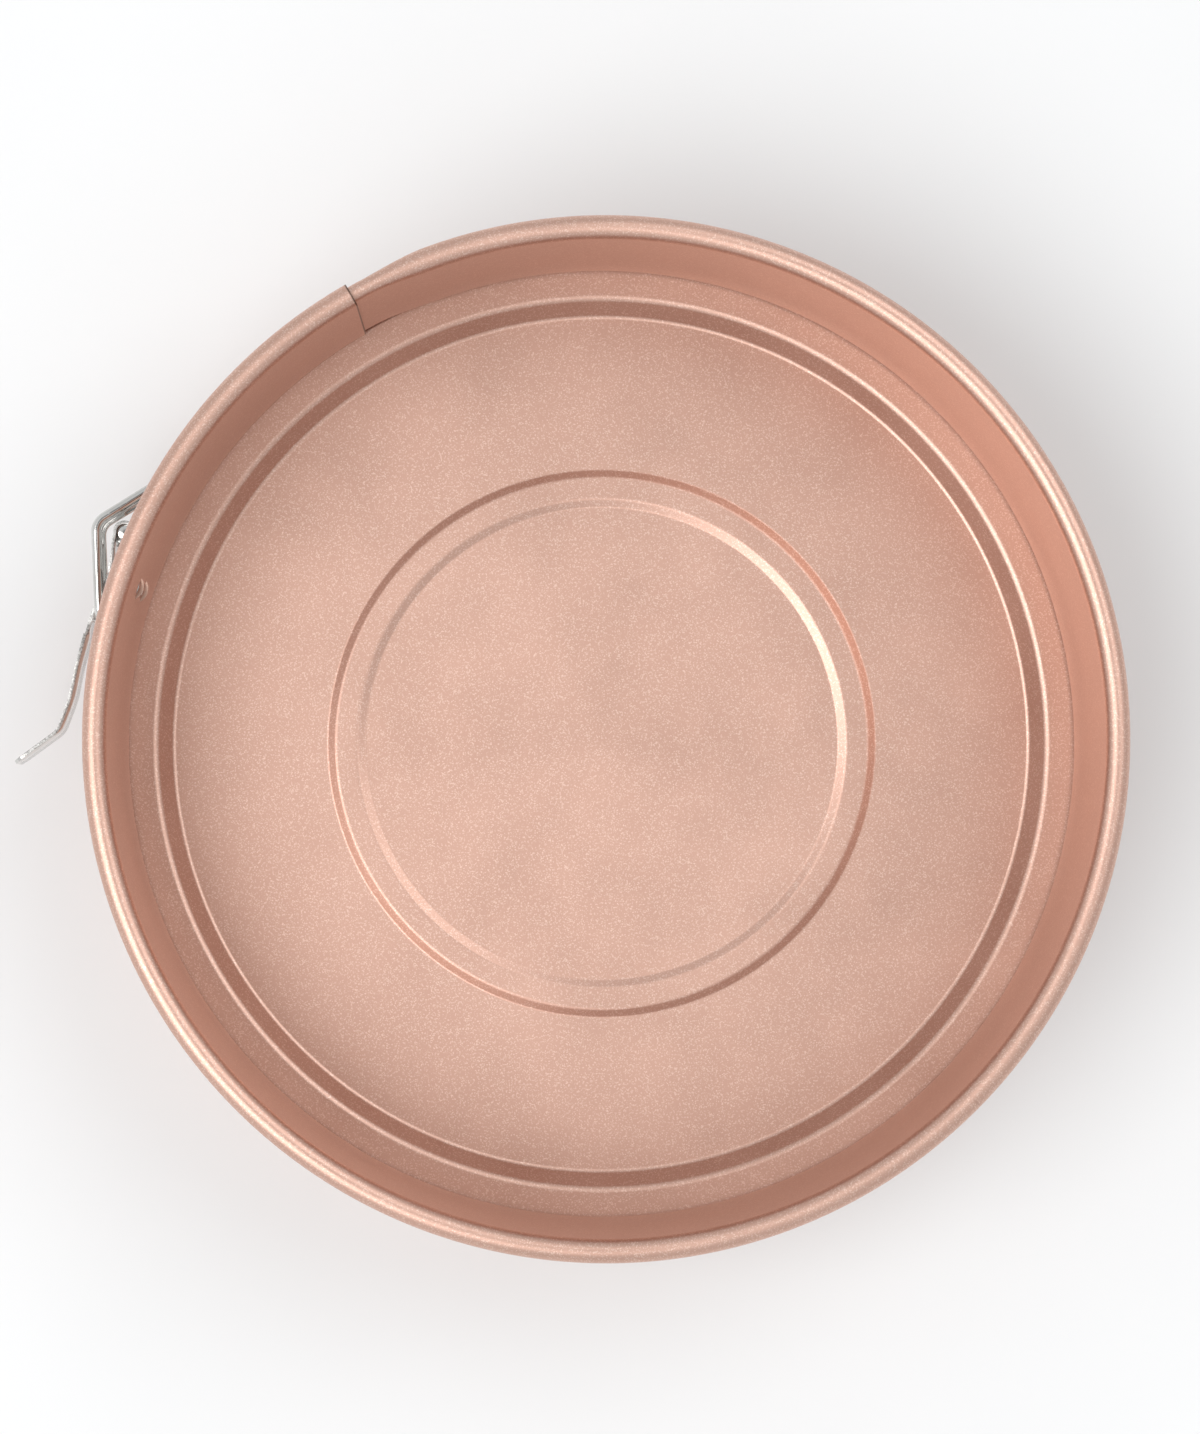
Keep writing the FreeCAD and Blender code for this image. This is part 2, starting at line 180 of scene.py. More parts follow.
def latch_point(along, standoff, height=0.0):
    """Point beside the pivot: along the wall's tangent, out from its tangent plane, from latch height."""
    outward = polar(1, PIVOT_ANGLE)
    tangent = polar(1, PIVOT_ANGLE + 90)
    point = outward * (INNER_RADIUS + BAND_SHEET + standoff) + tangent * along
    return point + Vector((0, 0, LATCH_HEIGHT + height))


def arc_points(centre, radius, first, sweep, steps):
    """Points round an arc with the direction from its centre at each one."""
    found = []
    for step in range(steps + 1):
        out = polar(1, first + sweep * step / steps)
        found.append((centre + out * radius, out))
    return found


def band_line():
    """Inside surface of the band from rolled rim to foot as (radius, height), and the sheet's side of it."""
    bead = Vector((INNER_RADIUS + BEAD_RADIUS, BAND_TOP - BEAD_RADIUS, 0))
    inset = GROOVE_REACH - GROOVE_RADIUS
    run = SHOULDER_RADIUS - inset
    rise = math.sqrt((SHOULDER_RADIUS + GROOVE_RADIUS) ** 2 - run ** 2)
    lean = math.degrees(math.atan2(rise, run))
    upper = Vector((INNER_RADIUS + SHOULDER_RADIUS, GROOVE_HEIGHT + rise, 0))
    lower = Vector((INNER_RADIUS + SHOULDER_RADIUS, GROOVE_HEIGHT - rise, 0))
    middle = Vector((INNER_RADIUS + inset, GROOVE_HEIGHT, 0))
    roll = arc_points(bead, BEAD_RADIUS, 180 - BEAD_ROLL, BEAD_ROLL, BEAD_STEPS)
    line = [(point, -out) for point, out in roll]
    wall = Vector((1, 0, 0))
    for share in (0.2, 0.4, 0.6, 0.8):
        line.append((Vector((INNER_RADIUS, bead.y + (upper.y - bead.y) * share, 0)), wall))
    shoulder = arc_points(upper, SHOULDER_RADIUS, 180, lean, SHOULDER_STEPS)
    groove = arc_points(middle, GROOVE_RADIUS, lean, -2 * lean, GROOVE_STEPS)
    foot = arc_points(lower, SHOULDER_RADIUS, 180 - lean, lean, SHOULDER_STEPS)
    line += [(point, -out) for point, out in shoulder]
    line += [(point, out) for point, out in groove[1:]]
    line += [(point, -out) for point, out in foot[1:]]
    line.append((Vector((INNER_RADIUS, BAND_LOW, 0)), wall))
    return line


def rounded_line(points, radius, steps):
    """Straight runs with tangent arcs, with the left-hand normal at each point."""
    line = []
    ahead = (points[1] - points[0]).normalized()
    line.append((points[0], Vector((-ahead.y, ahead.x, 0))))
    for before, corner, after in zip(points, points[1:], points[2:]):
        ahead = (corner - before).normalized()
        beyond = (after - corner).normalized()
        turn = math.degrees(math.atan2(ahead.cross(beyond).z, ahead.dot(beyond)))
        side = 1 if turn > 0 else -1
        normal = Vector((-ahead.y, ahead.x, 0)) * side
        start = corner - ahead * (radius * math.tan(math.radians(abs(turn)) / 2))
        first = math.degrees(math.atan2(-normal.y, -normal.x))
        for point, out in arc_points(start + normal * radius, radius, first, turn, steps):
            line.append((point, -out * side))
    ahead = (points[-1] - points[-2]).normalized()
    line.append((points[-1], Vector((-ahead.y, ahead.x, 0))))
    return line


def base_line():
    """Middle of the base plate's sheet from its centre to the hem that is folded under."""
    panel = BASE_SHEET / 2
    fold = (BASE_SHEET + HEM_GAP) / 2
    flange = GROOVE_HEIGHT + fold
    hem_x = FLANGE_RADIUS - fold - BASE_SHEET / 2
    inner = RING_RADIUS - RING_WIDTH / 2
    outer = RING_RADIUS + RING_WIDTH / 2
    heights = [(0, panel), (inner - RING_SLOPE, panel), (inner, panel + RING_HEIGHT),
               (outer, panel + RING_HEIGHT), (outer + RING_SLOPE, panel), (PANEL_RADIUS, panel),
               (PANEL_RADIUS + RISE_RUN, flange), (hem_x, flange)]
    line = rounded_line([Vector((x, y, 0)) for x, y in heights], BASE_BEND, BASE_BEND_STEPS)
    turn = arc_points(Vector((hem_x, flange - fold, 0)), fold, 90, -180, HEM_STEPS)
    line += turn[1:]
    line.append((Vector((hem_x - HEM_LENGTH, flange - 2 * fold, 0)), Vector((0, -1, 0))))
    return line


# ---------------------------------------------------------------- meshes

def mesh_object(name, mesh):
    made = bpy.data.objects.new(name, mesh)
    bpy.context.scene.collection.objects.link(made)
    return made


def sheet_outline(name, line, left, right, origin):
    """Closed outline of sheet metal round a line, with the way each point faces kept as attributes."""
    one = [(point + side * left, side, 1.0) for point, side in line]
    other = [(point - side * right, side, -1.0) for point, side in line]
    ring = one + other[::-1]
    mesh = bpy.data.meshes.new(name)
    count = len(ring)
    points = [(point.x - origin, -point.y, 0) for point, _, _ in ring]
    mesh.from_pydata(points, [(i, (i + 1) % count) for i in range(count)], [])
    for key, values in (("side_out", [side.x for _, side, _ in ring]),
                        ("side_up", [side.y for _, side, _ in ring]),
                        ("facing", [facing for _, _, facing in ring])):
        mesh.attributes.new(key, "FLOAT", "POINT").data.foreach_set("value", values)
    return mesh_object(name, mesh)


def socket(group, name, kind, value=None, outward=False):
    made = group.interface.new_socket(name=name, in_out="OUTPUT" if outward else "INPUT", socket_type=kind)
    if value is not None:
        made.default_value = value
    return made


def set_inputs(tree, node, inputs):
    """Fill a node's inputs, given as values or as sockets to link from."""
    for key, value in inputs.items():
        if isinstance(value, bpy.types.NodeSocket):
            tree.links.new(value, node.inputs[key])
        else:
            node.inputs[key].default_value = value


def add_node(tree, kind, inputs=None, **settings):
    """New node with its settings and inputs."""
    node = tree.nodes.new(kind)
    for key, value in settings.items():
        setattr(node, key, value)
    set_inputs(tree, node, inputs or {})
    return node


def math_node(tree, operation, first, second=0.0):
    return add_node(tree, "ShaderNodeMath", {0: first, 1: second}, operation=operation).outputs[0]


def named_attribute(tree, key):
    return add_node(tree, "GeometryNodeInputNamedAttribute", {"Name": key}, data_type="FLOAT").outputs[0]


def swept_sheet_tree():
    """Geometry nodes: sweep a sheet outline round the pan's axis, with a step outward where it laps."""
    tree = bpy.data.node_groups.new("swept_sheet", "GeometryNodeTree")
    socket(tree, "Outline", "NodeSocketGeometry")
    socket(tree, "Radius", "NodeSocketFloat", INNER_RADIUS)
    socket(tree, "First Angle", "NodeSocketFloat", 0.0)
    socket(tree, "Sweep Angle", "NodeSocketFloat", 90.0)
    socket(tree, "Steps", "NodeSocketInt", 100)
    socket(tree, "Full Turn", "NodeSocketBool", False)
    socket(tree, "Lap Step", "NodeSocketFloat", 0.0)
    socket(tree, "Step From", "NodeSocketFloat", 0.0)
    socket(tree, "Step To", "NodeSocketFloat", 1.0)
    socket(tree, "Finish", "NodeSocketMaterial")
    socket(tree, "Sheet", "NodeSocketGeometry", outward=True)
    given = tree.nodes.new("NodeGroupInput").outputs
    first = math_node(tree, "RADIANS", given["First Angle"])
    sweep = math_node(tree, "RADIANS", given["Sweep Angle"])
    arc = add_node(tree, "GeometryNodeCurveArc", {"Resolution": given["Steps"], "Radius": given["Radius"],
                                                  "Start Angle": first, "Sweep Angle": sweep}, mode="RADIUS")
    circle = add_node(tree, "GeometryNodeCurvePrimitiveCircle", {"Resolution": given["Steps"],
                                                                 "Radius": given["Radius"]}, mode="RADIUS")
    path = add_node(tree, "GeometryNodeSwitch", {"Switch": given["Full Turn"], "False": arc.outputs[0],
                                                 "True": circle.outputs[0]}, input_type="GEOMETRY")
    level = add_node(tree, "GeometryNodeSetCurveNormal", {"Curve": path.outputs[0]}, mode="Z_UP")
    station = add_node(tree, "GeometryNodeSplineParameter")
    along = add_node(tree, "GeometryNodeStoreNamedAttribute", {"Geometry": level.outputs[0], "Name": "along",
                                                               "Value": station.outputs["Factor"]},
                     data_type="FLOAT", domain="POINT")
    outline = add_node(tree, "GeometryNodeMeshToCurve", {"Mesh": given["Outline"]})
    swept = add_node(tree, "GeometryNodeCurveToMesh",
                     {"Curve": along.outputs[0], "Profile Curve": outline.outputs[0], "Fill Caps": True})
    read = {key: named_attribute(tree, key) for key in ("along", "side_out", "side_up")}
    eased = add_node(tree, "ShaderNodeMapRange",
                     {"Value": read["along"], "From Min": given["Step From"], "From Max": given["Step To"],
                      "To Min": 0.0, "To Max": given["Lap Step"]}, interpolation_type="SMOOTHSTEP")
    position = add_node(tree, "GeometryNodeInputPosition").outputs[0]
    place = add_node(tree, "ShaderNodeSeparateXYZ", {0: position})
    flat = add_node(tree, "ShaderNodeCombineXYZ", {"X": place.outputs["X"], "Y": place.outputs["Y"]})
    outward = add_node(tree, "ShaderNodeVectorMath", {0: flat.outputs[0]}, operation="NORMALIZE")
    across = add_node(tree, "ShaderNodeVectorMath", {0: outward.outputs[0], "Scale": read["side_out"]},
                      operation="SCALE")
    rise = add_node(tree, "ShaderNodeCombineXYZ", {"Z": read["side_up"]})
    side = add_node(tree, "ShaderNodeVectorMath", {0: across.outputs[0], 1: rise.outputs[0]}, operation="ADD")
    shift = add_node(tree, "ShaderNodeVectorMath", {0: side.outputs[0], "Scale": eased.outputs[0]},
                     operation="SCALE")
    stepped = add_node(tree, "GeometryNodeSetPosition", {"Geometry": swept.outputs[0],
                                                         "Offset": shift.outputs[0]})
    closed = add_node(tree, "GeometryNodeMergeByDistance", {"Geometry": stepped.outputs[0], "Distance": 1e-7})
    whole = add_node(tree, "GeometryNodeRealizeInstances", {"Geometry": closed.outputs[0]})
    done = add_node(tree, "GeometryNodeSetMaterial", {"Geometry": whole.outputs[0],
                                                      "Material": given["Finish"]})
    tree.links.new(done.outputs[0], tree.nodes.new("NodeGroupOutput").inputs[0])
    return tree


def bent_wire_tree():
    """Geometry nodes: round wire along a route, with its own bend radius at each corner."""
    tree = bpy.data.node_groups.new("bent_wire", "GeometryNodeTree")
    socket(tree, "Route", "NodeSocketGeometry")
    socket(tree, "Wire Radius", "NodeSocketFloat", WIRE_RADIUS)
    socket(tree, "Edges", "NodeSocketInt", WIRE_EDGES)
    socket(tree, "Bend Steps", "NodeSocketInt", WIRE_BEND_STEPS)
    socket(tree, "Finish", "NodeSocketMaterial")
    socket(tree, "Wire", "NodeSocketGeometry", outward=True)
    given = tree.nodes.new("NodeGroupInput").outputs
    bend = named_attribute(tree, "bend")
    route = add_node(tree, "GeometryNodeMeshToCurve", {"Mesh": given["Route"]})
    bent = add_node(tree, "GeometryNodeFilletCurve", {"Curve": route.outputs[0], "Count": given["Bend Steps"],
                                                      "Radius": bend, "Limit Radius": True}, mode="POLY")
    ring = add_node(tree, "GeometryNodeCurvePrimitiveCircle", {"Resolution": given["Edges"],
                                                               "Radius": given["Wire Radius"]}, mode="RADIUS")
    wire = add_node(tree, "GeometryNodeCurveToMesh", {"Curve": bent.outputs[0],
                                                      "Profile Curve": ring.outputs[0], "Fill Caps": True})
    whole = add_node(tree, "GeometryNodeRealizeInstances", {"Geometry": wire.outputs[0]})
    done = add_node(tree, "GeometryNodeSetMaterial", {"Geometry": whole.outputs[0],
                                                      "Material": given["Finish"]})
    tree.links.new(done.outputs[0], tree.nodes.new("NodeGroupOutput").inputs[0])
    return tree


def grow(source, tree, name, values):
    """Run a geometry tree on a source object and keep the result as a plain mesh object."""
    modifier = source.modifiers.new("shape", "NODES")
    modifier.node_group = tree
    for item in tree.interface.items_tree:
        if item.item_type == "SOCKET" and item.in_out == "INPUT" and item.name in values:
            modifier[item.identifier] = values[item.name]
    evaluated = source.evaluated_get(bpy.context.evaluated_depsgraph_get())
    mesh = bpy.data.meshes.new_from_object(evaluated)
    mesh.name = name
    bpy.data.objects.remove(source)
    return mesh_object(name, mesh)


def face_outward(piece):
    """Recalculate the winding of a closed mesh so that its faces point out."""
    work = bmesh.new()
    work.from_mesh(piece.data)
    bmesh.ops.recalc_face_normals(work, faces=work.faces)
    work.to_mesh(piece.data)
    work.free()


def true_normals(piece):
    """Shade the sheet's two skins by their exact directions, and its cut edges flat."""
    mesh = piece.data
    read = {key: [item.value for item in mesh.attributes[key].data]
            for key in ("side_out", "side_up", "facing")}
    normals = []
    for face in mesh.polygons:
        kinds = {read["facing"][index] > 0 for index in face.vertices}
        for index in face.vertices:
            if len(kinds) > 1:
                normals.append(face.normal.copy())
                continue
            place = mesh.vertices[index].co
            outward = Vector((place.x, place.y, 0))
            outward = outward.normalized() if outward.length > 1e-6 else Vector((0, 0, 0))
            side = outward * read["side_out"][index] + Vector((0, 0, read["side_up"][index]))
            side = side.normalized() * (1 if read["facing"][index] > 0 else -1)
            normals.append(side if side.length > 0.5 else face.normal.copy())
    mesh.polygons.foreach_set("use_smooth", [True] * len(mesh.polygons))
    mesh.normals_split_custom_set(normals)


# ---------------------------------------------------------------- band and base

def band_stretch(name, first, last, lap_from, lap_to, lap_step, tree, finish):
    outline = sheet_outline(name, band_line(), BAND_SHEET, 0.0, INNER_RADIUS)
    sweep = last - first
    values = {"Radius": INNER_RADIUS, "First Angle": first, "Sweep Angle": sweep,
              "Steps": int(round(sweep / STEP_ANGLE)) + 1, "Lap Step": lap_step,
              "Step From": (lap_from - first) / sweep, "Step To": (lap_to - first) / sweep, "Finish": finish}
    piece = grow(outline, tree, name, values)
    face_outward(piece)
    true_normals(piece)
    return piece


def mark_cut_end(piece, sweep):
    """Keep each point's distance from the strip's cut end, counted from 1, for the painted shade line there.
    """
    along = [item.value for item in piece.data.attributes["along"].data]
    values = [1 + math.radians(share * sweep) * INNER_RADIUS for share in along]
    piece.data.attributes.new("cut_end", "FLOAT", "POINT").data.foreach_set("value", values)


def bend_line(index):
    """Angle of the bending line between the band's arcs `index - 1` and `index`."""
    return LAP_INNER_END + ARC_SPAN * index


def make_band(tree, finish):
    """Four stretches of band, each spanning one hinge line, cut midway between the hinge lines."""
    names = ["band_latch_run", "band_latch_back", "band_keeper_back", "band_keeper_run"]
    nodes = [("band_latch_end",), ("band_latch_side",), ("band_back",),
             ("band_keeper_side", "band_keeper_end")]
    cuts = [LAP_INNER_END] + [bend_line(index + 0.5) for index in (1, 2, 3)] + [360 + LAP_OUTER_END]
    lap_to = 360 + LAP_INNER_END - JOGGLE_MARGIN
    lap_from = lap_to - JOGGLE_SPAN
    for index, name in enumerate(names):
        first, last = cuts[index], cuts[index + 1]
        last_run = index == len(names) - 1
        piece = band_stretch(name, first, last, lap_from if last_run else first, lap_to if last_run else last,
                             LAP_OFFSET if last_run else 0.0, tree, finish)
        if index == 0:
            mark_cut_end(piece, last - first)
        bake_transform(piece)
        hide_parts(*nodes[index])


def make_base(tree, finish):
    outline = sheet_outline("base_sheet", base_line(), BASE_SHEET / 2, BASE_SHEET / 2, INNER_RADIUS)
    piece = grow(outline, tree, "spun_base", {"Radius": INNER_RADIUS, "Steps": SPIN_STEPS, "Full Turn": True,
                                              "Finish": finish})
    face_outward(piece)
    true_normals(piece)
    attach(piece, "base")
    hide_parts("base_plate")


# ---------------------------------------------------------------- latch

def make_bail(tree, finish):
    pivot = latch_point(*BAIL_PIVOT)
    kink = latch_point(*BAIL_KINK)
    hook = polar(INNER_RADIUS + BAND_SHEET + CROSS_BAR_STANDOFF, CROSS_BAR_ANGLE)
    end = EAR_INNER - WIRE_END
    upper_leg = [(pivot, end, 0), (pivot, LEG_HEIGHT, END_BEND), (kink, LEG_HEIGHT, KINK_BEND),
                 (hook, LEG_HEIGHT, CORNER_BEND)]
    lower_leg = [(point, -height, bend) for point, height, bend in reversed(upper_leg)]
    route = upper_leg + lower_leg
    mesh = bpy.data.meshes.new("bail_route")
    mesh.from_pydata([(point.x, point.y, LATCH_HEIGHT + height) for point, height, _ in route],
                     [(i, i + 1) for i in range(len(route) - 1)], [])
    mesh.attributes.new("bend", "FLOAT", "POINT").data.foreach_set("value", [bend for _, _, bend in route])
    piece = grow(mesh_object("bail_route", mesh), tree, "bail_wire",
                 {"Wire Radius": WIRE_RADIUS, "Edges": WIRE_EDGES, "Bend Steps": WIRE_BEND_STEPS,
                  "Finish": finish})
    smooth_by_angle(piece, WIRE_SMOOTH_ANGLE)
    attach(piece, "bail")
    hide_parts("wire_bail")


def smooth_by_angle(piece, degrees):
    piece.data.polygons.foreach_set("use_smooth", [True] * len(piece.data.polygons))
    piece.data.set_sharp_from_angle(angle=math.radians(degrees))


def softened_copy(node, name, body, finish, edge_break):
    """A stamped piece with its sharp edges broken, made from a merged copy of the node's mesh."""
    mesh = bpy.data.objects[node].data.copy()
    mesh.materials.clear()
    work = bmesh.new()
    work.from_mesh(mesh)
    bmesh.ops.remove_doubles(work, verts=work.verts, dist=MERGE_DISTANCE)
    bmesh.ops.dissolve_limit(work, angle_limit=math.radians(FLAT_ANGLE), verts=work.verts, edges=work.edges)
    work.to_mesh(mesh)
    work.free()
    rough = mesh_object(name, mesh)
    rough.data.materials.append(finish)
    bevel = rough.modifiers.new("edge_break", "BEVEL")
    bevel.width = edge_break
    bevel.segments = EDGE_BREAK_STEPS
    bevel.limit_method = "ANGLE"
    bevel.angle_limit = math.radians(SHARP_ANGLE)
    evaluated = rough.evaluated_get(bpy.context.evaluated_depsgraph_get())
    rough.data = bpy.data.meshes.new_from_object(evaluated)
    rough.modifiers.clear()
    rough.name = name
    smooth_by_angle(rough, STAMPED_SMOOTH_ANGLE)
    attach(rough, body)
    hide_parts(node)
    return rough


# ---------------------------------------------------------------- finishes

def shader_group(name, inputs, outputs):
    group = bpy.data.node_groups.new(name, "ShaderNodeTree")
    for key, kind, value in inputs:
        socket(group, key, kind, value)
    for key, kind in outputs:
        socket(group, key, kind, outward=True)
    return group, group.nodes.new("NodeGroupInput").outputs, group.nodes.new("NodeGroupOutput").inputs


def noise(tree, place, scale, detail=2.0, roughness=0.5):
    return add_node(tree, "ShaderNodeTexNoise", {"Vector": place, "Scale": scale, "Detail": detail,
                                                 "Roughness": roughness}).outputs["Fac"]


def remap(tree, value, low, high, to_low, to_high):
    return add_node(tree, "ShaderNodeMapRange", {"Value": value, "From Min": low, "From Max": high,
                                                 "To Min": to_low, "To Max": to_high}).outputs[0]


def blend_tones(tree, share, first, second):
    return add_node(tree, "ShaderNodeMix", {"Factor": share, "A": first, "B": second},
                    data_type="RGBA").outputs["Result"]


def flake_group():
    """Metal flakes suspended in a coating: tone and tiny tilts from one flake to the next."""
    group, given, out = shader_group(
        "coating_flake",
        [("Place", "NodeSocketVector", None), ("Flakes Per Metre", "NodeSocketFloat", FLAKES_PER_METRE),
         ("Colour", "NodeSocketColor", (1, 1, 1, 1)), ("Flake Colour", "NodeSocketColor", (1, 1, 1, 1)),
         ("Amount", "NodeSocketFloat", 0.5)],
        [("Colour", "NodeSocketColor"), ("Flake", "NodeSocketFloat")])
    cells = add_node(group, "ShaderNodeTexVoronoi", {"Vector": given["Place"],
                                                     "Scale": given["Flakes Per Metre"]}, feature="F1")
    tone = add_node(group, "ShaderNodeSeparateColor", {0: cells.outputs["Color"]}).outputs[0]
    bright = remap(group, tone, 0.72, 1.0, 0.0, 1.0)
    amount = math_node(group, "MULTIPLY", bright, given["Amount"])
    group.links.new(blend_tones(group, amount, given["Colour"], given["Flake Colour"]), out["Colour"])
    group.links.new(tone, out["Flake"])
    return group


def smudge_group():
    """Soft patches from handling and washing, and long fine scratches over them."""
    group, given, out = shader_group(
        "handling_marks",
        [("Place", "NodeSocketVector", None), ("Patch Scale", "NodeSocketFloat", 25.0),
         ("Scratch Scale", "NodeSocketFloat", 900.0)],
        [("Patches", "NodeSocketFloat"), ("Scratches", "NodeSocketFloat")])
    patches = remap(group, noise(group, given["Place"], given["Patch Scale"], 4.0, 0.6), 0.35, 0.7, 0.0, 1.0)
    stretched = add_node(group, "ShaderNodeVectorMath", {0: given["Place"], 1: (1.0, 0.035, 0.035)},
                         operation="MULTIPLY").outputs[0]
    lines = noise(group, stretched, given["Scratch Scale"], 2.0, 0.6)
    group.links.new(patches, out["Patches"])
    group.links.new(remap(group, lines, 0.62, 0.72, 0.0, 1.0), out["Scratches"])
    return group


def place_in_piece(tree, turn=(0, 0, 0)):
    """Object coordinates, turned by a Mapping node where a pattern needs it."""
    where = add_node(tree, "ShaderNodeTexCoord").outputs["Object"]
    return add_node(tree, "ShaderNodeMapping", {"Vector": where, "Rotation": turn}).outputs[0]


def new_finish(name):
    made = bpy.data.materials.new(name)
    made.use_nodes = True
    tree = made.node_tree
    tree.nodes.clear()
    shader = tree.nodes.new("ShaderNodeBsdfPrincipled")
    end = tree.nodes.new("ShaderNodeOutputMaterial")
    tree.links.new(shader.outputs[0], end.inputs["Surface"])
    return made, tree, shader


def use_group(tree, group, inputs):
    node = tree.nodes.new("ShaderNodeGroup")
    node.node_tree = group
    set_inputs(tree, node, inputs)
    return node.outputs


def rose_coating(flakes, marks):
    """Satin rose-gold non-stick coating with fine metal flake."""
    made, tree, shader = new_finish("rose_coating")
    place = place_in_piece(tree)
    patches = use_group(tree, marks, {"Place": place, **COATING_MARKS})
    shade = blend_tones(tree, patches["Patches"], *COATING_TONES)
    flake = use_group(tree, flakes, {"Place": place, "Flakes Per Metre": FLAKES_PER_METRE, "Colour": shade,
                                     "Flake Colour": FLAKE_TONE, "Amount": FLAKE_AMOUNT})
    # Painted shade: darken the coating in a thin line along the strip's cut end, standing for the shadow in
    # the lap's gap.
    cut_end = add_node(tree, "ShaderNodeAttribute", attribute_name="cut_end").outputs["Fac"]
    away = math_node(tree, "ABSOLUTE", math_node(tree, "SUBTRACT", cut_end, 1.0))
    line = remap(tree, away, 0.5 * LAP_SHADE_WIDTH, LAP_SHADE_WIDTH, LAP_SHADE_AMOUNT, 0.0)
    tree.links.new(blend_tones(tree, line, flake["Colour"], LAP_SHADE_TONE), shader.inputs["Base Color"])
    roughness = remap(tree, patches["Patches"], 0.0, 1.0, *COATING_ROUGHNESS)
    tree.links.new(roughness, shader.inputs["Roughness"])
    shader.inputs["Metallic"].default_value = COATING_METALLIC
    for key, value in CLEAR_COAT.items():
        shader.inputs[key].default_value = value
    height = math_node(tree, "ADD", flake["Flake"], noise(tree, place, COATING_GRAIN))
    bump = add_node(tree, "ShaderNodeBump", {"Height": height, **COATING_BUMP})
    tree.links.new(bump.outputs[0], shader.inputs["Normal"])
    return made


def bright_nickel(name, marks, sheared):
    """Bright nickel plate on steel. `sheared` is how torn the stamping's level cut edges are."""
    made, tree, shader = new_finish(name)
    place = place_in_piece(tree, (0.3, 0.1, 1.2))
    found = use_group(tree, marks, {"Place": place, **NICKEL_MARKS})
    shade = blend_tones(tree, found["Patches"], *NICKEL_TONES)
    facing = add_node(tree, "ShaderNodeNewGeometry").outputs["Normal"]
    rise = add_node(tree, "ShaderNodeSeparateXYZ", {0: facing}).outputs["Z"]
    level = math_node(tree, "ABSOLUTE", rise)
    cut = remap(tree, level, 0.9, 0.98, 0.0, sheared)
    grain = remap(tree, noise(tree, place, TORN_GRAIN, 3.0, 0.7), 0.38, 0.62, 0.0, 1.0)
    torn = math_node(tree, "MULTIPLY", cut, grain)
    tree.links.new(blend_tones(tree, torn, shade, TORN_TONE), shader.inputs["Base Color"])
    shader.inputs["Metallic"].default_value = 1.0
    worn = math_node(tree, "MULTIPLY", found["Scratches"], SCRATCH_ROUGHNESS)
    soft = remap(tree, found["Patches"], 0.0, 1.0, *NICKEL_ROUGHNESS)
    rubbed = math_node(tree, "ADD", worn, soft)
    dull = math_node(tree, "MULTIPLY", cut, TORN_ROUGHNESS)
    tree.links.new(math_node(tree, "ADD", rubbed, dull), shader.inputs["Roughness"])
    height = math_node(tree, "ADD", found["Scratches"], torn)
    bump = add_node(tree, "ShaderNodeBump", {"Height": height, **NICKEL_BUMP})
    tree.links.new(bump.outputs[0], shader.inputs["Normal"])
    return made


def pale_floor():
    made, tree, shader = new_finish("pale_floor")
    place = place_in_piece(tree)
    tone = remap(tree, noise(tree, place, 6.0, 3.0), 0.3, 0.7, *FLOOR_TONES)
    shade = add_node(tree, "ShaderNodeCombineColor", {0: tone, 1: tone, 2: tone})
    tree.links.new(shade.outputs[0], shader.inputs["Base Color"])
    shader.inputs["Roughness"].default_value = FLOOR_ROUGHNESS
    return made


# ---------------------------------------------------------------- studio

def view_axes():
    """Directions to the right and to the top of the camera's view, level with the floor."""
    return polar(1, CAMERA_TURN), polar(1, CAMERA_TURN + 90)


def level_point(across, up, height):
    right, top = view_axes()
    return right * across + top * up + Vector((0, 0, height))


def make_floor():
    mesh = bpy.data.meshes.new("floor")
    corners = [(-1, -1), (1, -1), (1, 1), (-1, 1)]
    points = [(x * FLOOR_HALF_WIDTH, y * FLOOR_HALF_WIDTH, -FLOOR_GAP) for x, y in corners]
    mesh.from_pydata(points, [], [(0, 1, 2, 3)])
    floor = mesh_object("floor", mesh)
    floor.data.materials.append(pale_floor())


def soft_light(name, side, height, size, watts):
    """Round soft light at a place given across and up the camera's view, turned to the pan."""
    data = bpy.data.lights.new(name, "AREA")
    data.shape = "DISK"
    data.size = size
    data.energy = watts
    lamp = bpy.data.objects.new(name, data)
    lamp.location = level_point(*side, height)
    aim = Vector((0, 0, LIGHT_AIM_HEIGHT)) - lamp.location
    lamp.rotation_euler = aim.to_track_quat("-Z", "Y").to_euler()
    bpy.context.scene.collection.objects.link(lamp)


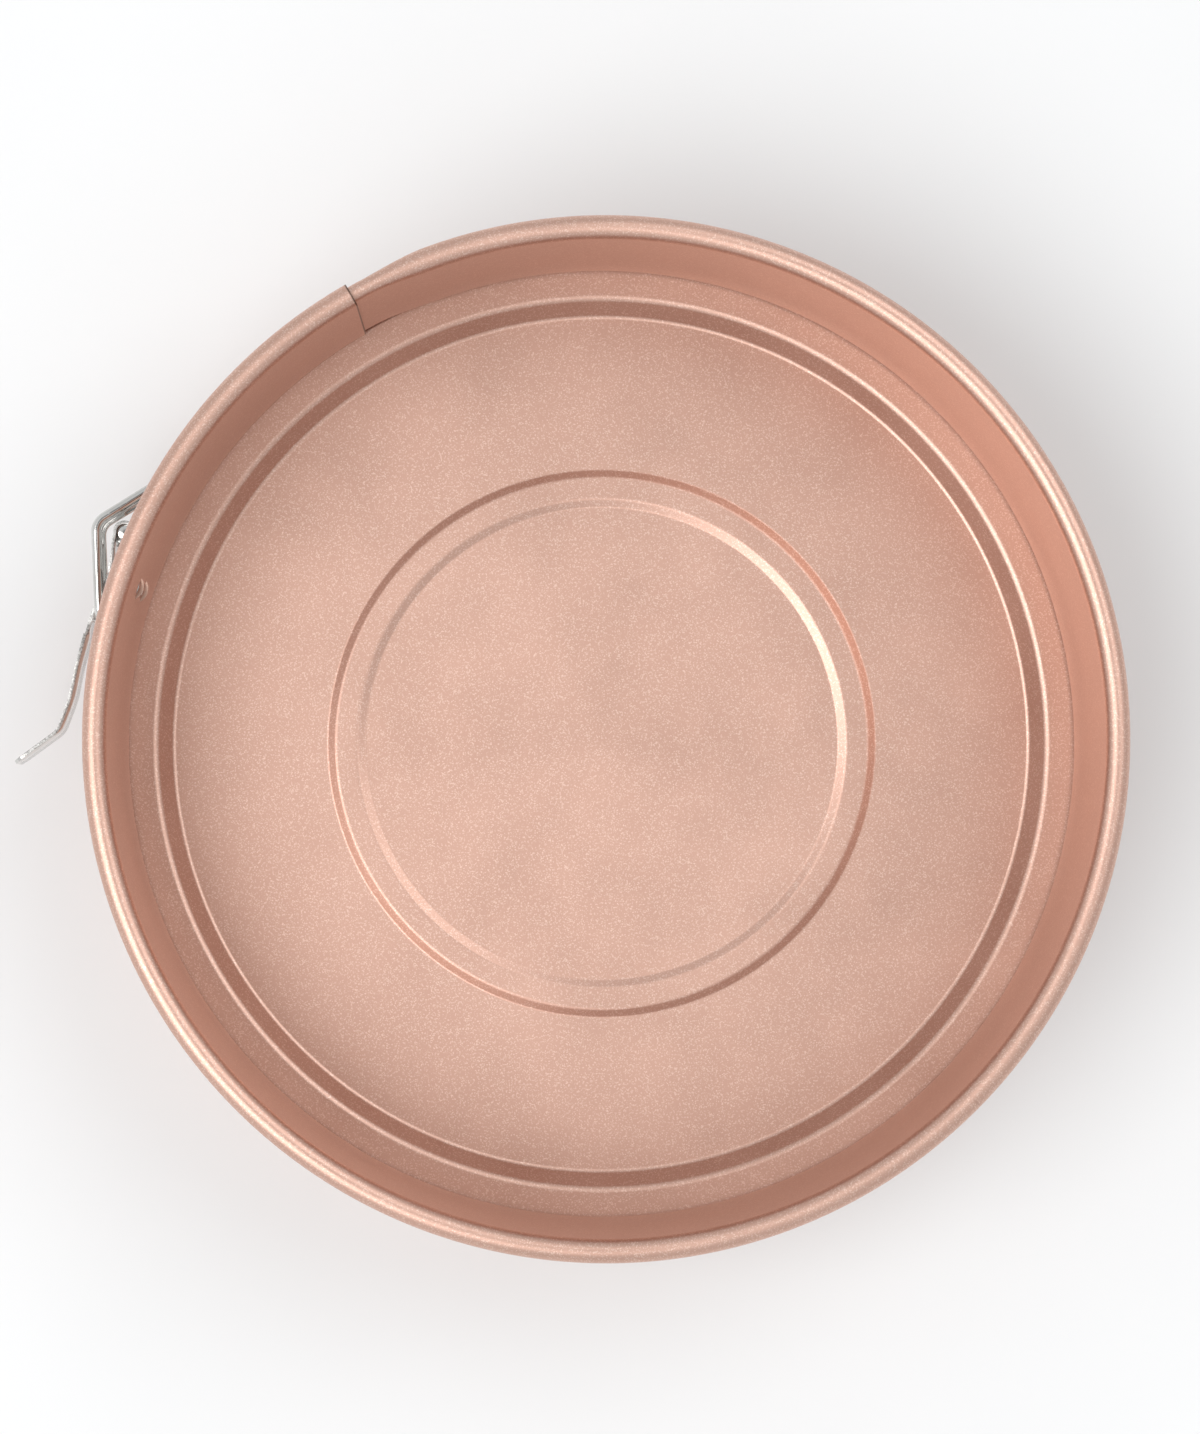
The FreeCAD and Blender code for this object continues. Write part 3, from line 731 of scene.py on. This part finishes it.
def make_lights():
    world = bpy.data.worlds.new("studio")
    bpy.context.scene.world = world
    world.use_nodes = True
    tree = world.node_tree
    toward = level_point(*WINDOW_SIDE, SKY_RISE).normalized()
    where = add_node(tree, "ShaderNodeTexCoord").outputs["Generated"]
    facing = add_node(tree, "ShaderNodeVectorMath", {0: where, 1: toward}, operation="DOT_PRODUCT")
    strength = remap(tree, facing.outputs["Value"], -0.9, 0.9, SKY_DIM, SKY_BRIGHT)
    height = add_node(tree, "ShaderNodeSeparateXYZ", {0: where}).outputs["Z"]
    shade = remap(tree, height, OVERHEAD_FROM, OVERHEAD_FULL, 1.0, OVERHEAD_SHADE)
    sky = tree.nodes["Background"]
    sky.inputs["Color"].default_value = SKY_TONE
    tree.links.new(math_node(tree, "MULTIPLY", strength, shade), sky.inputs["Strength"])
    soft_light("window", WINDOW_SIDE, **WINDOW_LIGHT)
    soft_light("fill", FILL_SIDE, **FILL_LIGHT)


def make_camera():
    bpy.context.scene.view_settings.view_transform = "Standard"
    data = bpy.data.cameras.new("camera")
    data.lens = LENS
    data.sensor_width = 36.0
    data.clip_start = 0.01
    data.clip_end = 20.0
    camera = bpy.data.objects.new("camera", data)
    place = level_point(*CAMERA_ASIDE, BAND_TOP + CAMERA_DISTANCE)
    aim = level_point(*AIM_ASIDE, BAND_TOP)
    top = view_axes()[1]
    back = (place - aim).normalized()
    side = top.cross(back).normalized()
    upright = back.cross(side)
    camera.matrix_world = Matrix((side, upright, back)).transposed().to_4x4()
    camera.location = place
    bpy.context.scene.collection.objects.link(camera)
    bpy.context.scene.camera = camera


# ---------------------------------------------------------------- build

def build():
    flakes = flake_group()
    marks = smudge_group()
    coating = rose_coating(flakes, marks)
    wire_nickel = bright_nickel("wire_nickel", marks, 0.0)
    stamped_nickel = bright_nickel("stamped_nickel", marks, TORN_AMOUNT)
    sheet_tree = swept_sheet_tree()
    make_band(sheet_tree, coating)
    make_base(sheet_tree, coating)
    make_bail(bent_wire_tree(), wire_nickel)
    softened_copy("latch_lever", "lever_stamping", "lever", stamped_nickel, EDGE_BREAK)
    softened_copy("lever_bracket", "bracket_stamping", "latch_end_arc", stamped_nickel,
                  EDGE_BREAK)
    softened_copy("bracket_rivets", "set_rivets", "latch_end_arc", wire_nickel, EDGE_BREAK)
    softened_copy("pivot_pin", "hinge_pin", "latch_end_arc", wire_nickel, 2 * EDGE_BREAK)
    softened_copy("keeper", "keeper_stamping", "keeper_end_arc", coating, EDGE_BREAK)
    make_floor()
    make_lights()
    make_camera()


build()
